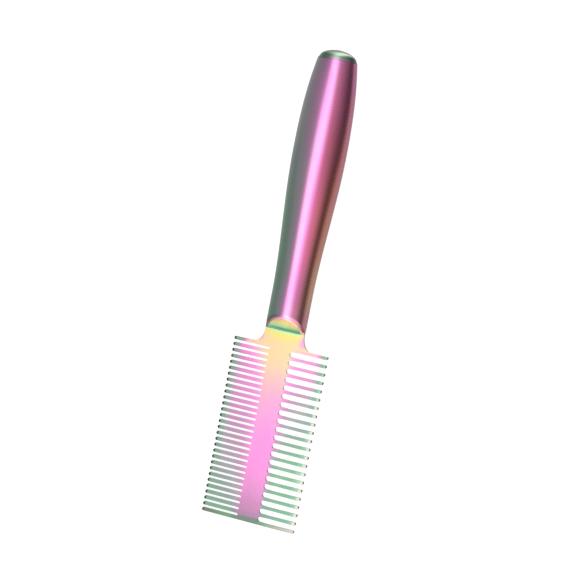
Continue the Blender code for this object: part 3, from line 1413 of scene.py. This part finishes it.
        def on_end(edge: bmesh.types.BMEdge) -> bool:
            """Whether an edge is the outer one at the butt."""
            outer = all((vert.co - self.axis(end)).length > skin for vert in edge.verts)
            return outer and stands_at(edge, "y", end, self.near)

        with shell.editing():
            shell.pick(Part.EDGES, on_end)
            shell.bevel(self.end_round, self.end_steps)
        shell.tidy()
        return shell

    def front_cheek(self, form: Workpiece) -> Workpiece:
        """Cut the front cheek, whose bevelled face is flush with the shell's.

        Args:
            form: The outer form, which is used up.

        Returns:
            The cheek.
        """
        at = self.layout
        radius = at.waist_radius - self.wall - self.hairline
        start, end = at.nose_y - self.overrun, at.nose_y + self.cheek_length
        cheek = Workpiece.rod(
            "nose_cheek_front_dressed", self.axis((start + end) / 2), (radius, radius), end - start,
            self.sides, along_y=True,
        )
        cheek.combine(form, "INTERSECT")
        level = at.half_plate + self.slit
        cheek.cut_off(Vector((0, 0, level)), Vector((0, 0, -1)))

        def on_lip(edge: bmesh.types.BMEdge) -> bool:
            """Whether an edge is the lower lip of the bevelled face.

            Args:
                edge: The edge.

            Returns:
                Whether it is.
            """
            first, second = (vert.co.y for vert in edge.verts)
            across = abs(first - second) < self.near and first < at.nose_y + self.lip_reach
            return across and stands_at(edge, "z", level, self.near)

        with cheek.editing():
            cheek.pick(Part.EDGES, on_lip)
            cheek.bevel(self.lip_round, self.end_steps)
        cheek.tidy()
        return cheek

    def dome(self, base: float) -> list[Ring]:
        """Rings of the cap's dome, between its foot and its pole: part of a sphere, with a bulge.

        Args:
            base: The dome's foot.

        Returns:
            Each ring's place along the comb and its radius.
        """
        rim, height = self.layout.rim_radius, self.layout.butt_y - base
        sphere = (rim**2 + height**2) / (2 * height)
        foot = math.asin((sphere - height) / sphere)
        rings = []
        for number in range(1, self.dome_rings):
            turn = foot + (math.pi / 2 - foot) * number / self.dome_rings
            y = base + sphere * (math.sin(turn) - math.sin(foot))
            share = (y - base) / height
            bulge = self.dome_bulge * share * share * (1 - share) / self.bulge_peak
            rings.append((y, sphere * math.cos(turn) + bulge))
        return rings

    def cap(self) -> Workpiece:
        """Make the domed butt cap, closed at its pole, with the skirt that sits in the shells.

        Returns:
            The cap.
        """
        at = self.layout
        base = at.rim_y + self.hairline / 2
        low, rim = base - self.skirt, at.rim_radius
        skirt = rim - self.wall - self.hairline
        stations = [(low, skirt), (base, skirt), (base, rim)] + self.dome(base)
        cap = Workpiece.ring("butt_cap_dressed", self.axis(low), skirt, self.sides)
        self.sweep(cap, stations)
        last = stations[-1][0]

        def on_foot(edge: bmesh.types.BMEdge) -> bool:
            """Whether an edge is the outer one at the dome's foot."""
            outer = all((vert.co - self.axis(base)).length > rim - self.near for vert in edge.verts)
            return outer and stands_at(edge, "y", base, self.nearer)

        with cap.editing():
            cap.pick(Part.VERTS, lambda vert: vert.co.y > last - self.nearer)
            cap.draw_out(Vector((0, at.butt_y - last, 0)))
            bpy.ops.mesh.merge(type="CENTER")
            cap.pick(Part.EDGES, lambda edge: stands_at(edge, "y", low, self.nearer))
            bpy.ops.mesh.edge_face_add()
            cap.pick(Part.EDGES, on_foot)
            cap.bevel(self.end_round, self.end_steps)
        cap.tidy()
        return cap

    def build(self, shell_film: HandleFilm, cap_film: CapFilm) -> None:
        """Make, finish and place the handle's pieces.

        Args:
            shell_film: The film on the shells and the cheeks.
            cap_film: The film on the butt cap.
        """
        form = self.form()
        shell = self.front_shell(form)
        back_shell = self.turned_over(shell, "handle_shell_back_dressed")
        film = shell_film.make("shell_film")
        shell.dress(film, FRONT_SHELL_NODE, "front_shell_steel")
        back_shell.dress(film, "handle_shell_back", "back_shell_steel")
        cheek = self.front_cheek(form)
        back_cheek = self.turned_over(cheek, "nose_cheek_back_dressed")
        film = shell_film.make("cheek_film")
        cheek.dress(film, "nose_cheek_front", "front_cheek_steel")
        back_cheek.dress(film, "nose_cheek_back", "back_cheek_steel")
        self.cap().dress(cap_film.make("cap_film"), CAP_NODE, "butt_cap_steel")


@dataclass
class TangPins:
    """The two pins through the cheeks and the tang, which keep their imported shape."""

    finish: DrawnSteel
    nodes: tuple[str, ...] = ("tang_pin_1", "tang_pin_2")

    def dress(self) -> None:
        """Give the pins their finish, with its lines measured from each pin's own middle."""
        for name in self.nodes:
            low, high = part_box(name)
            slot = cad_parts[name].material_slots[0]
            slot.material = self.finish.make(f"{name}_steel", (low + high) / 2)
            LOG.info("%s: kept, drawn steel", name)


# ---------------------------------------------------------------- the studio


@dataclass(frozen=True)
class Surround:
    """A grey light tent: how bright it is in each direction round the comb, and towards its two ends."""

    sides: Places = (
        (-180.0, 0.95), (-160.0, 0.90), (-150.0, 0.60), (-135.0, 0.52), (-120.0, 0.50), (-90.0, 0.42),
        (-60.0, 0.43), (-45.0, 0.46), (-30.0, 0.50), (-17.0, 0.72), (0.0, 0.90), (18.0, 0.85),
        (27.0, 0.64), (37.0, 0.50), (49.0, 0.42), (61.0, 0.30), (75.0, 0.14), (89.0, 0.06), (103.0, 0.15),
        (121.0, 0.43), (145.0, 0.42), (152.0, 0.40), (160.0, 0.33), (170.0, 0.42), (180.0, 0.95),
    )
    ends: Places = (
        (-1.0, 0.13), (-0.60, 0.17), (-0.45, 0.30), (-0.25, 0.60), (-0.05, 0.97), (0.08, 0.97),
        (0.20, 0.73), (0.35, 0.40), (0.50, 0.27), (1.0, 0.13),
    )
    ends_level: float = 1.68
    ends_reach: Span = (0.25, 0.60)
    low_ends: Ramp = (-0.85, -0.60, 0.40, 1.0)
    shaded_across: Span = (0.15, 0.42)
    shaded_low: Ramp = (0.0, -0.50, 0.0, 0.8)
    gap_shift: float = 18.0
    gap_along: Span = (-0.14, 0.02)
    gap_opens: Span = (60.0, 100.0)
    gap_closes: Ramp = (130.0, 150.0, 1.0, 0.0)
    butt_light: Places = (
        (-35.0, 1.0), (-24.0, 0.95), (-15.0, 0.60), (-4.0, 0.55), (4.0, 0.60), (14.0, 0.85), (24.0, 1.0),
        (80.0, 1.0),
    )
    butt_along: Span = (0.06, 0.24)
    nose_glow: Places = ((-20.0, 0.0), (-5.0, 0.15), (15.0, 0.25), (30.0, 0.60), (60.0, 0.55), (90.0, 0.0))
    nose_from: Span = (-0.16, -0.30)
    nose_to: Span = (-0.95, -0.80)
    side_glow: Places = ((5.0, 0.0), (13.0, 0.75), (21.0, 0.55), (32.0, 0.0))
    side_glow_along: Span = (-0.12, -0.03)

    def towards_side(self, turn: Wire, y: Wire, nose: Wire) -> Wire:
        """Brightness of the tent round the comb.

        Args:
            turn: Degrees round the comb from overhead, towards the coarse side.
            y: How far the direction leans towards the butt, -1 to 1.
            nose: The glow towards the nose.

        Returns:
            The brightness.
        """
        glow = turn.follow(self.side_glow) * y.ramp(*self.side_glow_along, smooth=True)
        side = turn.follow(self.sides) + glow
        return y.ramp(*self.butt_along).pick(side, side * turn.follow(self.butt_light)) + nose

    def towards_end(self, x: Wire, z: Wire, nose: Wire) -> Wire:
        """Brightness of the tent past the comb's two ends.

        Args:
            x: How far the direction leans across, towards the coarse side, -1 to 1.
            z: How far it leans up, -1 to 1.
            nose: The glow towards the nose.

        Returns:
            The brightness.
        """
        level = x.follow(self.ends) * self.ends_level * z.ramp(*self.low_ends)
        shaded = x.ramp(*self.shaded_across) * z.ramp(*self.shaded_low)
        return level * (1.0 - shaded) + nose

    def make(self) -> bpy.types.World:
        """Build the tent as the world's background.

        Returns:
            The world.
        """
        world = bpy.data.worlds.new("light_tent")
        world.use_nodes = True
        shader = Shader(world.node_tree)
        x, y, z = shader.axes(shader.add("ShaderNodeTexCoord", {}).outputs["Generated"])
        turn = x.turn_from(z)
        widening = y.ramp(*self.gap_along, 0.0, self.gap_shift, True) * turn.ramp(*self.gap_opens)
        turn = turn - widening * turn.ramp(*self.gap_closes)
        nose = turn.follow(self.nose_glow) * (y.ramp(*self.nose_from) * y.ramp(*self.nose_to))
        share = abs(y).ramp(*self.ends_reach, smooth=True)
        strength = share.pick(self.towards_side(turn, y, nose), self.towards_end(x, z, nose))
        backdrop = world.node_tree.nodes["Background"]
        shader.feed(backdrop.inputs["Strength"], strength)
        backdrop.inputs["Color"].default_value = (1, 1, 1, 1)
        return world


@dataclass(frozen=True)
class Studio:
    """A pale floor under the comb, a soft light over it in a light tent, and the camera."""

    layout: Layout
    surround: Surround = Surround()
    floor_size: float = 6.0
    floor_glow: float = 0.95
    floor_grain: Grain = (0.02, 0.02, 0.02)
    floor_grey: Span = (0.19, 0.21)
    floor_roughness: float = 0.9
    floor_tries: int = 200
    light_centre: Vector = Vector((-0.012, 0.05, 1.20))
    light_size: tuple[float, float] = (0.577, 2.60)
    light_power: float = 3.1
    camera_at: Vector = Vector((165.95, 73.95, 626.58)) * MM
    camera_aim: Vector = Vector((-2.77, 0.84, 0.0)) * MM
    camera_roll: float = 10.94
    camera_lens: float = 100.5
    sensor_width: float = 36.0

    def floor_slope(self) -> float:
        """Fall of the floor along the comb, which lies on its end and on the handle's belly.

        Returns:
            The fall for each metre towards the butt.
        """
        at, tries = self.layout, self.floor_tries
        span = at.rim_y - at.nose_y
        places = [at.nose_y + span * number / tries for number in range(tries + 1)]
        return max((at.radius_at(y) - at.half_plate) / (y - at.end_y) for y in places)

    def floor(self) -> None:
        """Lay the floor under the comb's two resting places. It stays out of the steel's reflections."""
        clear_selection()
        foot = Vector((0, self.layout.end_y, -self.layout.half_plate))
        turn = (-math.atan(self.floor_slope()), 0, 0)
        bpy.ops.mesh.primitive_plane_add(size=self.floor_size, location=foot, rotation=turn)
        floor = bpy.context.object
        floor.name = "studio_floor"
        floor.visible_glossy = False
        shader = SurfaceShader("pale_floor", metallic=0.0)
        fleck = shader.noise(shader.millimetres(foot), self.floor_grain)
        grey = shader.grey(fleck.ramp(*NOISE_SPAN, *self.floor_grey))
        shader.feed(shader.surface.inputs["Base Color"], grey)
        shader.surface.inputs["Roughness"].default_value = self.floor_roughness
        shader.surface.inputs["Emission Color"].default_value = (1, 1, 1, 1)
        shader.surface.inputs["Emission Strength"].default_value = self.floor_glow
        floor.data.materials.append(shader.material)

    def lights(self) -> None:
        """Hang the soft light and the light tent."""
        lamp = bpy.data.lights.new("overhead_softbox", "AREA")
        lamp.shape = "RECTANGLE"
        lamp.size, lamp.size_y = self.light_size
        lamp.energy = self.light_power
        holder = bpy.data.objects.new("overhead_softbox", lamp)
        holder.location = self.light_centre
        bpy.context.scene.collection.objects.link(holder)
        bpy.context.scene.world = self.surround.make()

    def camera(self) -> None:
        """Aim the camera down at the comb from the coarse side, rolled a little."""
        look = (self.camera_aim - self.camera_at).normalized()
        along = (Vector((0, 1, 0)) - look * look.y).normalized()
        level = look.cross(along)
        roll = math.radians(self.camera_roll)
        up = along * math.cos(roll) - level * math.sin(roll)
        right = look.cross(up)
        lens = bpy.data.cameras.new("camera")
        lens.lens = self.camera_lens
        lens.sensor_width = self.sensor_width
        holder = bpy.data.objects.new("camera", lens)
        turn = Matrix((right, up, -look)).transposed().to_4x4()
        holder.matrix_world = Matrix.Translation(self.camera_at) @ turn
        bpy.context.scene.collection.objects.link(holder)
        bpy.context.scene.camera = holder

    def build(self) -> None:
        """Set up the floor, the lights and the camera."""
        self.floor()
        self.lights()
        self.camera()
        bpy.context.scene.view_settings.view_transform = "Standard"
        LOG.info("studio: floor falls %.1f mm in 100", self.floor_slope() * 100)


def main() -> None:
    """Build and dress every piece of the comb, then the studio."""
    logging.basicConfig(level=logging.INFO, format="%(name)s: %(message)s")
    layout = Layout.from_frame()
    CombPlate(layout).build(PlateFilm(layout))
    Handle(layout).build(HandleFilm(layout), CapFilm(layout))
    TangPins(DrawnSteel()).dress()
    Studio(layout).build()


if __name__ == "__main__":
    main()
